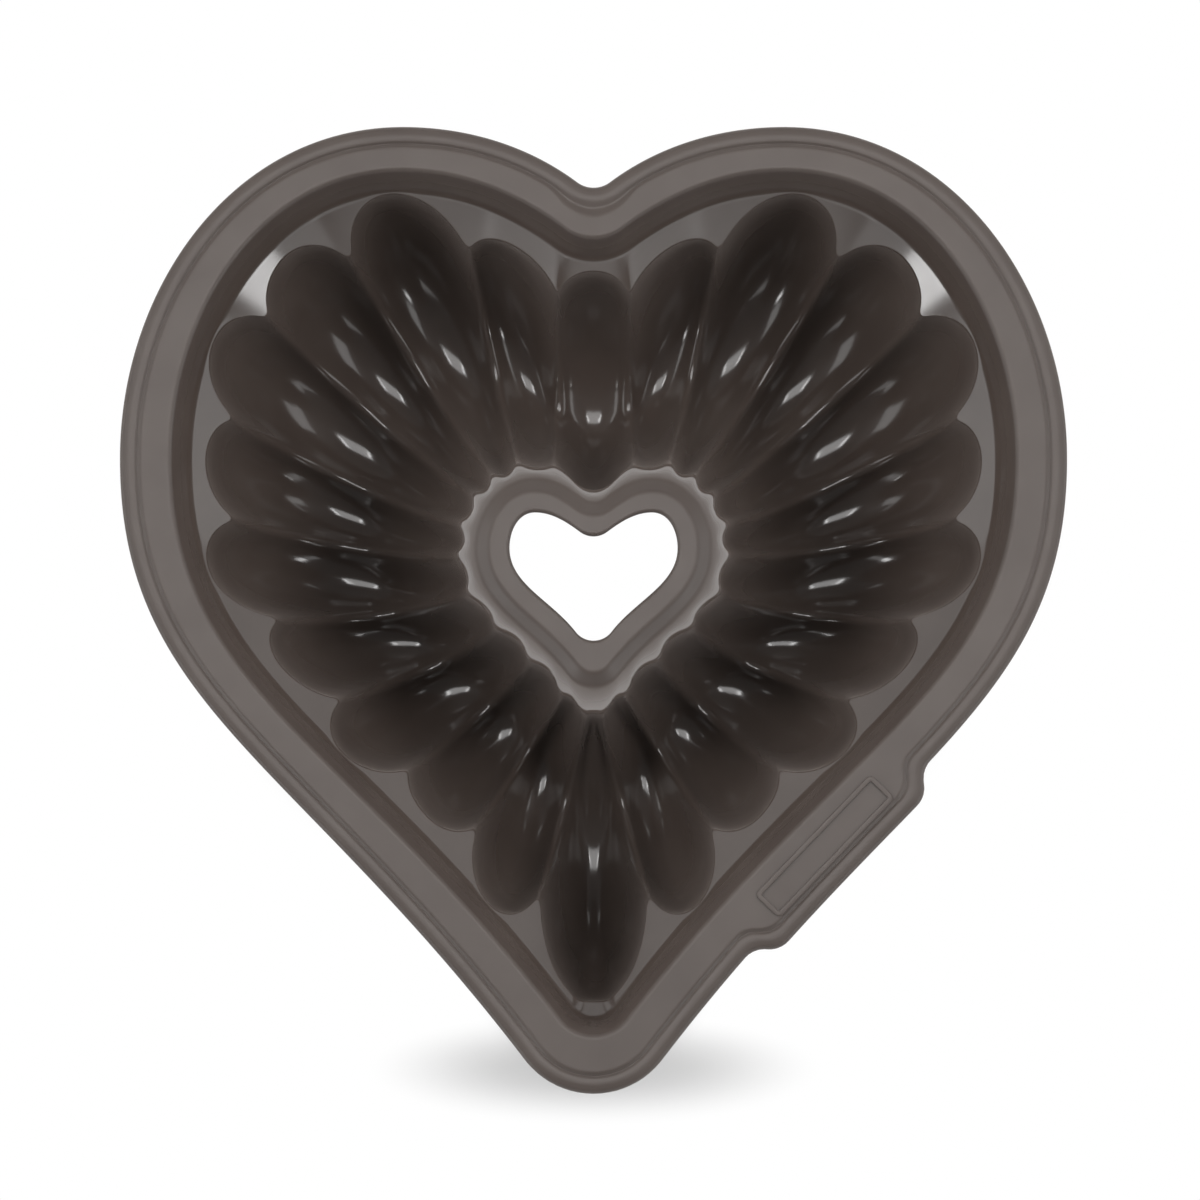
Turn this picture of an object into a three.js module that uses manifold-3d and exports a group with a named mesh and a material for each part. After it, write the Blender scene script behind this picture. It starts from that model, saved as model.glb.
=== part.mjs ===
import * as THREE from "three";
import { mergeVertices } from "three/addons/utils/BufferGeometryUtils.js";
import Module from "manifold-3d";

// A heart-shaped fluted cake mould: one silicone moulding over a steel hoop in its rim.
// It stands on the bottoms of its flutes with its mouth up. Millimetres, +Z up, heart tip towards -Y.

// Overall sizes
const MOULD_WIDTH = 250;
const MOULD_LENGTH = 255;
const MOULD_HEIGHT = 65;
const WALL = 2.5;

// Rim heart, at the outer edge of the bead
const RIM_WIDEST_DROP = 87.5;
const RIM_LOBE_X = 50.5;
const RIM_CLEFT_DROP = 16.2;
const RIM_CLEFT_RADIUS = 7.2;
const RIM_TIP_RADIUS = 22.7;
const CLEFT_SLOPE = THREE.MathUtils.degToRad(37);
const FLANK_ANGLE = THREE.MathUtils.degToRad(37.5);
const FLANK_PULL = 1.54;

// Flat flange between the bead and the cavity: its width at four places, and the cavity's own corners
const FLANGE_SIDE = 13.6;
const FLANGE_LOBE = 11.9;
const FLANGE_CLEFT = 13.8;
const FLANGE_TIP = 15.4;
const CAVITY_CLEFT_RADIUS = 12;
const CAVITY_TIP_RADIUS = 11;

// Bead around the rim, with the groove on its inner side
const BEAD_WIDTH = 4.2;
const BEAD_HEIGHT = 6;
const BEAD_ROUND = 1.4;
const BEAD_CHAMFER = 0.9;
const GROOVE_WIDTH = 1.2;
const GROOVE_DEPTH = 0.6;
const GROOVE_CLEFT_EXTRA = 2.6;
const GROOVE_CLEFT_REACH = 9;

// Collar below the flange, and the slope that the flutes open through
const COLLAR_DEPTH = 10.5;
const COLLAR_RUN = 3.7;
const SLOPE_ANGLE = THREE.MathUtils.degToRad(38);

// Flutes from the cleft to the tip: each ridge's share of the half loop at the mouth and at the tube,
// and how far in from the collar's foot each flute's arch and each ridge's cusp lie
const MOUTH_RIDGES = [0.0207, 0.108, 0.222, 0.3145, 0.409, 0.495, 0.59, 0.678, 0.761, 0.834, 0.9145];
const TUBE_RIDGES = [0.108, 0.2, 0.263, 0.325, 0.402, 0.4765, 0.57, 0.678, 0.791, 0.902, 0.9835];
const ARCHES = [3.3, 7.1, 0.8, 4.2, 0.8, 4.5, 1.1, 4.8, 0.8, 4.6, 0.8, 4.5];
const CUSPS = [11.1, 12.4, 12.9, 9.7, 10, 10.1, 11.5, 10.1, 9, 11.2, 13.4];
const TIP_ARCH_SIDE = 1;
const TIP_ARCH_REACH = 0.7;
const TIP_FLATNESS = 1.4;
const RIDGE_AT_TUBE = 1.6;
const TIP_RIDGE_AT_TUBE = 0.4;
const OUTSIDE_RIDGE_SHARE = 0.7;
const FLUTE_ROUNDNESS = 0.9;
const TROUGH_FROM_FOOT = 20;
const TROUGH_SHARE = 0.3;
const SPOKE_BOW = 0.15;
const PAD_CUT = 0.5;

// Tube in the middle: heart at the ledge, raised ring on top, hole through it
const TUBE_WIDTH = 70;
const TUBE_LENGTH = 65.5;
const TUBE_CENTRE_Y = 5;
const TUBE_WIDEST_DROP = 21.5;
const TUBE_LOBE_X = 15.5;
const TUBE_CLEFT_DROP = 6;
const TUBE_CLEFT_RADIUS = 9;
const TUBE_TIP_RADIUS = 5;
const LEDGE_SIDE = 7.3;
const LEDGE_LOBE = 6.6;
const LEDGE_CLEFT = 7;
const LEDGE_TIP = 10.8;
const RING_CLEFT_RADIUS = 8;
const RING_TIP_RADIUS = 5;
const RING_FLANK_PULL = 1.25;
const RING_COLLAR_RUN = 3.6;
const RING_DROP = 7.8;
const RING_RISE = 2.2;
const RING_SIDE = 5.4;
const RING_LOBE = 5.5;
const RING_CLEFT = 5.5;
const RING_TIP = 8.5;
const HOLE_CLEFT_RADIUS = 6;
const HOLE_TIP_RADIUS = 6;
const HOLE_FLANK_PULL = 1.1;

// Tab on the right flank that widens the flange for a bare framed panel
const TAB_SHARE = 0.7877;
const TAB_LENGTH = 74.7;
const TAB_BULGE = 5.6;
const TAB_CORNER = 11.5;
const TAB_LEAN = 0.45;
const PANEL_LENGTH = 44;
const PANEL_WIDTH = 9;
const PANEL_INSET = 9.8;
const PANEL_CORNER = 1;
const FRAME_WIDTH = 0.9;
const FRAME_RISE = 0.5;

// Steel hoop in the bead, in a channel that locating pins left open below
const HOOP_DIAMETER = 2;
const HOOP_CLEARANCE = 0.3;
const HOOP_INSET = 2.3;
const HOOP_DEPTH = 3.3;
const PIN_DIAMETER = 1.6;
const PIN_COUNT = 10;

// Fineness
const STEPS_PER_FLUTE = 5;
const STEPS_END_FLUTE = 9;
const STEPS_TAB_CORNER = 5;
const TROUGH_HALF_STEP = 0.07;
const ROWS_OUTER_WALL = 4;
const ROWS_TUBE_WALL = 4;
const HOOP_SIDES = 6;
const PIN_SIDES = 8;
const MERGE_WITHIN = 1e-4;
const CROSSING_STEPS = 40;

// Levels
const FLANGE_Z = MOULD_HEIGHT - FRAME_RISE;
const FOOT_Z = FLANGE_Z - COLLAR_DEPTH;
const TROUGH_Z = WALL - PAD_CUT;
const RING_Z = FLANGE_Z - RING_DROP;
const LEDGE_Z = RING_Z - RING_RISE;

const FLUTES_PER_SIDE = MOUTH_RIDGES.length;
const { lerp } = THREE.MathUtils;

// A cubic curve whose handles are those of a circular arc turning as much, times a pull at each end.
function bend(from, heading, to, arrival, pullFrom = 1, pullTo = 1) {
  const turn = Math.acos(THREE.MathUtils.clamp(heading.dot(arrival), -1, 1));
  const handle = from.distanceTo(to) / (3 * Math.cos(turn / 4) ** 2);
  const leave = from.clone().addScaledVector(heading, handle * pullFrom);
  const reach = to.clone().addScaledVector(arrival, -handle * pullTo);
  return new THREE.CubicBezierCurve(from, leave, reach, to);
}

// The right half of a heart from its cleft to its tip, as five curves:
// cleft arc, rise to the lobe, lobe, flank, tip arc.
function heart(size) {
  const cleftCentre = size.cleftY + size.cleftRadius;
  const tipCentre = size.tipY + size.tipRadius;
  const down = -Math.PI / 2;
  const cleft = new THREE.EllipseCurve(
    0,
    cleftCentre,
    size.cleftRadius,
    size.cleftRadius,
    down,
    down + CLEFT_SLOPE,
  );
  const tip = new THREE.EllipseCurve(
    0,
    tipCentre,
    size.tipRadius,
    size.tipRadius,
    -FLANK_ANGLE,
    down,
    true,
  );
  const lobe = new THREE.Vector2(size.lobeX, size.lobeY);
  const widest = new THREE.Vector2(size.halfWidth, size.widestY);
  const uphill = new THREE.Vector2(Math.cos(CLEFT_SLOPE), Math.sin(CLEFT_SLOPE));
  const across = new THREE.Vector2(1, 0);
  const straightDown = new THREE.Vector2(0, -1);
  const inward = new THREE.Vector2(-Math.sin(FLANK_ANGLE), -Math.cos(FLANK_ANGLE));
  const rise = bend(cleft.getPoint(1), uphill, lobe, across);
  const shoulder = bend(lobe, across, widest, straightDown);
  const flank = bend(widest, straightDown, tip.getPoint(0), inward, 1, size.flankPull);
  return [cleft, rise, shoulder, flank, tip];
}

// The same heart drawn in by its own amount at the sides, lobes, cleft and tip.
function drawnIn(size, side, lobe, cleft, tip, cleftRadius, tipRadius, flankPull) {
  return {
    halfWidth: size.halfWidth - side,
    widestY: size.widestY,
    lobeX: size.lobeX,
    lobeY: size.lobeY - lobe,
    cleftY: size.cleftY - cleft,
    cleftRadius,
    tipY: size.tipY + tip,
    tipRadius,
    flankPull,
  };
}

const rimSize = {
  halfWidth: MOULD_WIDTH / 2,
  widestY: MOULD_LENGTH / 2 - RIM_WIDEST_DROP,
  lobeX: RIM_LOBE_X,
  lobeY: MOULD_LENGTH / 2,
  cleftY: MOULD_LENGTH / 2 - RIM_CLEFT_DROP,
  cleftRadius: RIM_CLEFT_RADIUS,
  tipY: -MOULD_LENGTH / 2,
  tipRadius: RIM_TIP_RADIUS,
  flankPull: FLANK_PULL,
};
const tubeTop = TUBE_CENTRE_Y + TUBE_LENGTH / 2;
const tubeSize = {
  halfWidth: TUBE_WIDTH / 2,
  widestY: tubeTop - TUBE_WIDEST_DROP,
  lobeX: TUBE_LOBE_X,
  lobeY: tubeTop,
  cleftY: tubeTop - TUBE_CLEFT_DROP,
  cleftRadius: TUBE_CLEFT_RADIUS,
  tipY: TUBE_CENTRE_Y - TUBE_LENGTH / 2,
  tipRadius: TUBE_TIP_RADIUS,
  flankPull: FLANK_PULL,
};
const cavitySize = drawnIn(
  rimSize,
  FLANGE_SIDE,
  FLANGE_LOBE,
  FLANGE_CLEFT,
  FLANGE_TIP,
  CAVITY_CLEFT_RADIUS,
  CAVITY_TIP_RADIUS,
  FLANK_PULL,
);
const ringSize = drawnIn(
  tubeSize,
  LEDGE_SIDE,
  LEDGE_LOBE,
  LEDGE_CLEFT,
  LEDGE_TIP,
  RING_CLEFT_RADIUS,
  RING_TIP_RADIUS,
  RING_FLANK_PULL,
);
const holeSize = drawnIn(
  ringSize,
  RING_SIDE,
  RING_LOBE,
  RING_CLEFT,
  RING_TIP,
  HOLE_CLEFT_RADIUS,
  HOLE_TIP_RADIUS,
  HOLE_FLANK_PULL,
);
const rimHeart = heart(rimSize);
const cavityHeart = heart(cavitySize);
const tubeHeart = heart(tubeSize);
const ringHeart = heart(ringSize);
const holeHeart = heart(holeSize);

function halfLength(curves) {
  return curves.reduce((sum, curve) => sum + curve.getLength(), 0);
}

// The point and outward normal on a heart that answers to a share of a guide heart's half loop.
function stationOn(curves, guide, share, side) {
  let left = share * halfLength(guide);
  let i = 0;
  while (i < guide.length - 1 && left > guide[i].getLength()) {
    left -= guide[i].getLength();
    i += 1;
  }
  const along = THREE.MathUtils.clamp(left / guide[i].getLength(), 0, 1);
  const point = curves[i].getPointAt(along);
  const tangent = curves[i].getTangentAt(along);
  return {
    point: new THREE.Vector2(side * point.x, point.y),
    normal: new THREE.Vector2(-side * tangent.y, tangent.x),
  };
}

// Troughs lie at whole numbers from the cleft to the tip, and ridges half way between them.
function ridgeShare(ridges, place) {
  const stops = [0, ...ridges, 1];
  const places = stops.map((_, i) => THREE.MathUtils.clamp(i - 0.5, 0, FLUTES_PER_SIDE));
  let i = 0;
  while (i < stops.length - 2 && place > places[i + 1]) i += 1;
  return lerp(stops[i], stops[i + 1], (place - places[i]) / (places[i + 1] - places[i]));
}

// How far the tab pushes the rim out at a distance along the rim from the tab's middle:
// each end is an S of two equal arcs that meet half way out.
function tabBulge(away) {
  const run = TAB_CORNER / 2;
  const rise = TAB_BULGE / 2;
  const radius = (run * run + rise * rise) / (2 * rise);
  const past = THREE.MathUtils.clamp(TAB_LENGTH / 2 - away, 0, TAB_CORNER);
  const near = Math.min(past, TAB_CORNER - past);
  const out = radius - Math.sqrt(radius * radius - near * near);
  return past < run ? out : TAB_BULGE - out;
}

// Height of the slope that the flutes open through, at a distance square in from the collar's foot.
function slopeZ(inset, thickness) {
  return FOOT_Z - Math.tan(SLOPE_ANGLE) * inset - thickness / Math.cos(SLOPE_ANGLE);
}

// A U of two quarter ellipses from the mouth (0) through the trough (1) to the tube (2):
// distance in along the spoke, height, and the normal that points into the cavity.
function valley(arch, column, step) {
  const { length, square } = column;
  const trough = TROUGH_FROM_FOOT + TROUGH_SHARE * length;
  const angle = (step <= 1 ? step : 2 - step) * (Math.PI / 2);
  const wide = step <= 1 ? trough - arch : length - trough;
  const top = step <= 1 ? slopeZ(arch * square, 0) : LEDGE_Z;
  const high = top - TROUGH_Z;
  const hand = step <= 1 ? -1 : 1;
  const normal = new THREE.Vector2(-hand * high * Math.cos(angle), wide * Math.sin(angle)).normalize();
  const point = new THREE.Vector2(
    trough + hand * wide * Math.cos(angle),
    top - high * Math.sin(angle),
  );
  return { point, normal };
}

// Rise of a round-bottomed flute from its trough (0) to its ridge (1).
function fluteArc(across) {
  const fall = (x) => 1 - Math.sqrt(1 - (FLUTE_ROUNDNESS * x) ** 2);
  return fall(across) / fall(1);
}

// One flute's skin at a step along its valley, drawn back by a thickness from the cavity side.
function fluteSkin(column, step, thickness) {
  const own = valley(column.arch, column, step);
  const shared = valley(column.ridgeArch, column, step);
  const full = lerp(column.ridgeAtMouth, column.ridgeAtTube, step / 2);
  const rise = thickness > 0 ? full * OUTSIDE_RIDGE_SHARE : full;
  const floor = own.point.addScaledVector(own.normal, -thickness);
  const ridge = shared.point.addScaledVector(shared.normal, rise - thickness);
  return floor.lerp(ridge, fluteArc(column.across));
}

// The step between two others at which a falling measure of the skin passes zero.
function crossing(low, high, measure) {
  let a = low;
  let b = high;
  for (let i = 0; i < CROSSING_STEPS; i += 1) {
    const middle = (a + b) / 2;
    if (measure(middle) > 0) a = middle;
    else b = middle;
  }
  return (a + b) / 2;
}

function footAt(share, side) {
  const cavity = stationOn(cavityHeart, cavityHeart, share, side);
  return cavity.point.addScaledVector(cavity.normal, -COLLAR_RUN);
}

// A place's distance from its flute's trough (0) to the ridge (1), and its flute's arch there.
// The tip's flute is measured straight across, with a flatter floor and a rounder arch.
function fluteShape(place, foot) {
  const flute = Math.round(place);
  const arch = ARCHES[flute];
  if (flute < FLUTES_PER_SIDE) return { across: Math.abs(2 * (place - flute)), arch };
  const width = Math.abs(foot.x / footAt(MOUTH_RIDGES[FLUTES_PER_SIDE - 1], 1).x);
  const toSide = THREE.MathUtils.smoothstep(width, 0, TIP_ARCH_REACH);
  return { across: width ** TIP_FLATNESS, arch: lerp(arch, TIP_ARCH_SIDE, toSide) };
}

// Everything that one upright cut through the mould needs to know, at a place on one side.
function makeColumn(side, place) {
  const lastRidge = FLUTES_PER_SIDE - 1;
  const ridge = Math.min(Math.floor(place), lastRidge);
  const ridgeArch = (ARCHES[ridge] + ARCHES[ridge + 1]) / 2;
  const mouthShare = ridgeShare(MOUTH_RIDGES, place);
  const tubeShare = ridgeShare(TUBE_RIDGES, place);
  const rim = stationOn(rimHeart, cavityHeart, mouthShare, side);
  const cavity = stationOn(cavityHeart, cavityHeart, mouthShare, side);
  const tube = stationOn(tubeHeart, tubeHeart, tubeShare, side);
  const ring = stationOn(ringHeart, tubeHeart, tubeShare, side);
  const hole = stationOn(holeHeart, tubeHeart, tubeShare, side);
  const foot = footAt(mouthShare, side);
  const length = foot.distanceTo(tube.point);
  const outward = foot.clone().sub(tube.point).normalize();
  const leaving = outward.clone().lerp(cavity.normal, SPOKE_BOW);
  const arriving = outward.clone().lerp(tube.normal, SPOKE_BOW);
  const spoke = new THREE.CubicBezierCurve(
    foot,
    foot.clone().addScaledVector(leaving, -length / 3),
    tube.point.clone().addScaledVector(arriving, length / 3),
    tube.point,
  );
  const nearCleft = Math.max(0, 1 - Math.abs(rim.point.x) / GROOVE_CLEFT_REACH);
  return {
    rim,
    cavity,
    tube,
    ring,
    hole,
    foot,
    length,
    square: outward.dot(cavity.normal),
    spoke,
    ...fluteShape(place, foot),
    ridgeArch,
    ridgeAtMouth: CUSPS[ridge] - ridgeArch,
    ridgeAtTube: ridge === lastRidge ? TIP_RIDGE_AT_TUBE : RIDGE_AT_TUBE,
    tabAway: side > 0 ? Math.abs(mouthShare - TAB_SHARE) * halfLength(rimHeart) : TAB_LENGTH,
    groove: rim.point.y > 0 ? GROOVE_WIDTH + GROOVE_CLEFT_EXTRA * nearCleft : GROOVE_WIDTH,
  };
}

// A point at a distance out from a heart's station, at a height.
function beside(station, out, z) {
  const flat = station.point.clone().addScaledVector(station.normal, out);
  return new THREE.Vector3(flat.x, flat.y, z);
}

// A point at a distance out from the rim, which the tab pushes out; the tab is shorter further in.
function besideRim(column, out, z) {
  return beside(column.rim, out + tabBulge(column.tabAway - out * TAB_LEAN), z);
}

// A point of the flute zone: in along the spoke from the collar's foot, straight on past its ends.
function alongSpoke(column, inset, z) {
  const share = inset / column.length;
  let flat;
  if (share < 0) {
    flat = column.foot.clone().addScaledVector(column.cavity.normal, -inset);
  } else if (share > 1) {
    flat = column.tube.point.clone().addScaledVector(column.tube.normal, column.length - inset);
  } else {
    flat = column.spoke.getPoint(share);
  }
  return new THREE.Vector3(flat.x, flat.y, Math.max(z, 0));
}

// Steps from the arch to the tube, close together only at the two ends of the flat trough.
function valleySteps(arch, end) {
  const steps = [];
  for (let i = 0; i <= ROWS_OUTER_WALL; i += 1) {
    steps.push(lerp(arch, 1 - TROUGH_HALF_STEP, i / ROWS_OUTER_WALL));
  }
  for (let i = 0; i <= ROWS_TUBE_WALL; i += 1) {
    steps.push(lerp(1 + TROUGH_HALF_STEP, end, i / ROWS_TUBE_WALL));
  }
  return steps;
}

function fluteRows(column, thickness) {
  const measure = (step) => {
    const skin = fluteSkin(column, step, thickness);
    return skin.y - slopeZ(skin.x * column.square, thickness);
  };
  const arch = crossing(0, 1, measure);
  const underLedge = (step) => LEDGE_Z - thickness - fluteSkin(column, step, thickness).y;
  const end = thickness > 0 ? crossing(1, 2, underLedge) : 2;
  return valleySteps(arch, end).map((step) => {
    const skin = fluteSkin(column, step, thickness);
    return alongSpoke(column, skin.x, skin.y);
  });
}

// Bead and groove, from the bead's outer side over its crown to the flange.
function beadRows(column) {
  const half = BEAD_WIDTH / 2;
  return [
    besideRim(column, 0, FLANGE_Z - BEAD_HEIGHT + BEAD_CHAMFER),
    besideRim(column, 0, FLANGE_Z - BEAD_ROUND),
    besideRim(column, (Math.SQRT1_2 - 1) * half, FLANGE_Z - (1 - Math.SQRT1_2) * BEAD_ROUND),
    besideRim(column, -half, FLANGE_Z),
    besideRim(column, (-1 - Math.SQRT1_2) * half, FLANGE_Z - (1 - Math.SQRT1_2) * BEAD_ROUND),
    besideRim(column, -BEAD_WIDTH, FLANGE_Z - GROOVE_DEPTH),
    besideRim(column, -BEAD_WIDTH - column.groove, FLANGE_Z),
  ];
}

function beadUnderside(column) {
  return [
    besideRim(column, -BEAD_WIDTH - column.groove, FLANGE_Z - WALL),
    besideRim(column, -BEAD_WIDTH, FLANGE_Z - BEAD_HEIGHT + BEAD_CHAMFER),
    besideRim(column, -BEAD_WIDTH + BEAD_CHAMFER, FLANGE_Z - BEAD_HEIGHT),
    besideRim(column, -BEAD_CHAMFER, FLANGE_Z - BEAD_HEIGHT),
  ];
}

// Where the collar's and the slope's undersides meet, as distance out from the foot and height.
function underFoot() {
  const lean = COLLAR_RUN / COLLAR_DEPTH;
  const collarOut = WALL * Math.hypot(1, lean);
  const slope = Math.tan(SLOPE_ANGLE);
  const drop = WALL / Math.cos(SLOPE_ANGLE);
  const out = (collarOut - lean * drop) / (1 - lean * slope);
  return { out, z: slopeZ(-out, WALL) };
}

function underCollar() {
  const lean = COLLAR_RUN / COLLAR_DEPTH;
  return { out: WALL * Math.hypot(1, lean) - lean * WALL, z: FLANGE_Z - WALL };
}

// The closed section of the moulding at one place: over the top from the bead to the hole, back below.
function section(column) {
  const { cavity, ring, hole } = column;
  const foot = underFoot();
  const collar = underCollar();
  const thin = WALL / 2;
  return [
    ...beadRows(column),
    beside(cavity, 0, FLANGE_Z),
    beside(cavity, -COLLAR_RUN, FOOT_Z),
    ...fluteRows(column, 0),
    beside(ring, RING_COLLAR_RUN, LEDGE_Z),
    beside(ring, 0, RING_Z),
    beside(hole, 0, RING_Z),
    beside(hole, 0, RING_Z - WALL),
    beside(ring, -thin, RING_Z - WALL),
    beside(ring, RING_COLLAR_RUN - thin, LEDGE_Z - WALL),
    ...fluteRows(column, WALL).reverse(),
    beside(cavity, foot.out - COLLAR_RUN, foot.z),
    beside(cavity, collar.out, collar.z),
    ...beadUnderside(column),
  ];
}

// A round section of the rim's hoop or of its channel.
function hoopSection(column, radius) {
  const points = [];
  for (let i = 0; i < HOOP_SIDES; i += 1) {
    const angle = (2 * Math.PI * i) / HOOP_SIDES;
    const out = radius * Math.cos(angle) - HOOP_INSET;
    points.push(besideRim(column, out, FLANGE_Z - HOOP_DEPTH + radius * Math.sin(angle)));
  }
  return points;
}

// Closed sections carried round a closed loop, joined into one skin.
function loopGeometry(sections) {
  const rows = sections[0].length;
  const positions = [];
  const index = [];
  sections.forEach((points, i) => {
    const next = (i + 1) % sections.length;
    points.forEach((point, j) => {
      const up = (j + 1) % rows;
      positions.push(point.x, point.y, point.z);
      index.push(i * rows + j, i * rows + up, next * rows + j);
      index.push(next * rows + j, i * rows + up, next * rows + up);
    });
  });
  const geometry = new THREE.BufferGeometry();
  geometry.setAttribute("position", new THREE.Float32BufferAttribute(positions, 3));
  geometry.setIndex(index);
  return geometry;
}

// The place at the mouth that has a given share of the half loop.
function placeOf(share) {
  return crossing(0, FLUTES_PER_SIDE, (place) => share - ridgeShare(MOUTH_RIDGES, place));
}

// Places across the flutes of one side, closer together at the cleft and beside the tip.
function flutePlaces() {
  const places = [];
  for (let flute = 0; flute <= FLUTES_PER_SIDE; flute += 1) {
    const isTip = flute === FLUTES_PER_SIDE;
    const steps = isTip || flute === 0 ? STEPS_END_FLUTE : STEPS_PER_FLUTE;
    for (let i = 0; i < steps; i += 1) {
      const along = i / steps;
      places.push(flute - 0.5 + (isTip ? 2 * along * along : along));
    }
  }
  return places.filter((place) => place > 0 && place < FLUTES_PER_SIDE);
}

// Places at the two rounded corners of the tab.
function tabPlaces() {
  const places = [];
  const whole = halfLength(rimHeart);
  for (let i = 0; i <= STEPS_TAB_CORNER; i += 1) {
    const away = (TAB_LENGTH / 2 - TAB_CORNER * (i / STEPS_TAB_CORNER)) / whole;
    places.push(placeOf(TAB_SHARE - away), placeOf(TAB_SHARE + away));
  }
  return places;
}

// Upright cuts all round: down the right side from the cleft to the tip, and up the left side.
function makeColumns() {
  const left = flutePlaces();
  const spacing = 1 / (2 * STEPS_PER_FLUTE);
  const tab = tabPlaces();
  const clear = left.filter((place) => tab.every((corner) => Math.abs(corner - place) > spacing));
  const right = [...clear, ...tab].sort((a, b) => a - b);
  return [
    makeColumn(1, 0),
    ...right.map((place) => makeColumn(1, place)),
    makeColumn(1, FLUTES_PER_SIDE),
    ...left.reverse().map((place) => makeColumn(-1, place)),
  ];
}

const wasm = await Module();
wasm.setup();

function toSolid(geometry) {
  const bare = new THREE.BufferGeometry();
  bare.setAttribute("position", geometry.getAttribute("position"));
  if (geometry.index) bare.setIndex(geometry.index);
  const merged = mergeVertices(bare, MERGE_WITHIN);
  const mesh = new wasm.Mesh({
    numProp: 3,
    vertProperties: merged.getAttribute("position").array,
    triVerts: new Uint32Array(merged.index.array),
  });
  return new wasm.Manifold(mesh);
}

function toGeometry(solid) {
  const mesh = solid.getMesh();
  const geometry = new THREE.BufferGeometry();
  geometry.setAttribute("position", new THREE.BufferAttribute(mesh.vertProperties, 3));
  geometry.setIndex(new THREE.BufferAttribute(mesh.triVerts, 1));
  geometry.computeVertexNormals();
  return geometry;
}

function roundedRectangle(outline, length, width, corner) {
  const x = length / 2;
  const y = width / 2;
  outline.moveTo(-x + corner, -y);
  outline.lineTo(x - corner, -y);
  outline.quadraticCurveTo(x, -y, x, -y + corner);
  outline.lineTo(x, y - corner);
  outline.quadraticCurveTo(x, y, x - corner, y);
  outline.lineTo(-x + corner, y);
  outline.quadraticCurveTo(-x, y, -x, y - corner);
  outline.lineTo(-x, -y + corner);
  outline.quadraticCurveTo(-x, -y, -x + corner, -y);
  return outline;
}

// The raised border of the bare panel on the tab, rooted half a wall deep in the flange.
function panelFrame() {
  const shape = roundedRectangle(new THREE.Shape(), PANEL_LENGTH, PANEL_WIDTH, PANEL_CORNER);
  const bareLength = PANEL_LENGTH - 2 * FRAME_WIDTH;
  const bareWidth = PANEL_WIDTH - 2 * FRAME_WIDTH;
  shape.holes.push(roundedRectangle(new THREE.Path(), bareLength, bareWidth, PANEL_CORNER / 2));
  const root = WALL / 2;
  const frame = new THREE.ExtrudeGeometry(shape, {
    depth: root + FRAME_RISE,
    bevelEnabled: false,
    curveSegments: 2,
  });
  const station = stationOn(rimHeart, cavityHeart, TAB_SHARE, 1);
  const seat = beside(station, TAB_BULGE - PANEL_INSET - PANEL_WIDTH / 2 + BEAD_WIDTH, FLANGE_Z - root);
  frame.rotateZ(Math.atan2(station.normal.x, -station.normal.y));
  return frame.translate(seat.x, seat.y, seat.z);
}

// Locating pins held the hoop in place while the silicone set, and left these holes under the bead.
function pinHoles(columns) {
  const depth = BEAD_HEIGHT - HOOP_DEPTH;
  const spare = BEAD_CHAMFER;
  return Array.from({ length: PIN_COUNT }, (_, i) => {
    const column = columns[Math.round(((i + 0.5) * columns.length) / PIN_COUNT)];
    const radius = PIN_DIAMETER / 2;
    const pin = new THREE.CylinderGeometry(radius, radius, depth + spare, PIN_SIDES);
    const middle = FLANGE_Z - HOOP_DEPTH - (depth + spare) / 2;
    const seat = besideRim(column, -HOOP_INSET, middle);
    return pin.rotateX(Math.PI / 2).translate(seat.x, seat.y, seat.z);
  });
}

function siliconeMould(columns) {
  const channelRadius = HOOP_DIAMETER / 2 + HOOP_CLEARANCE;
  const channel = loopGeometry(columns.map((column) => hoopSection(column, channelRadius)));
  let body = toSolid(loopGeometry(columns.map(section)));
  body = body.add(toSolid(panelFrame()));
  body = body.subtract(toSolid(channel));
  pinHoles(columns).forEach((pin) => {
    body = body.subtract(toSolid(pin));
  });
  const silicone = new THREE.MeshStandardMaterial({ color: 0x3a3230, roughness: 0.45, metalness: 0 });
  const mesh = new THREE.Mesh(toGeometry(body), silicone);
  mesh.name = "silicone_mould";
  return mesh;
}

function rimHoop(columns) {
  const sections = columns.map((column) => hoopSection(column, HOOP_DIAMETER / 2));
  const steel = new THREE.MeshStandardMaterial({ color: 0xb4b6b8, roughness: 0.35, metalness: 1 });
  const mesh = new THREE.Mesh(loopGeometry(sections), steel);
  mesh.name = "rim_hoop";
  return mesh;
}

const columns = makeColumns();
const mould = new THREE.Group();
mould.add(siliconeMould(columns), rimHoop(columns));

export default mould;
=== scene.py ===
import math

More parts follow.
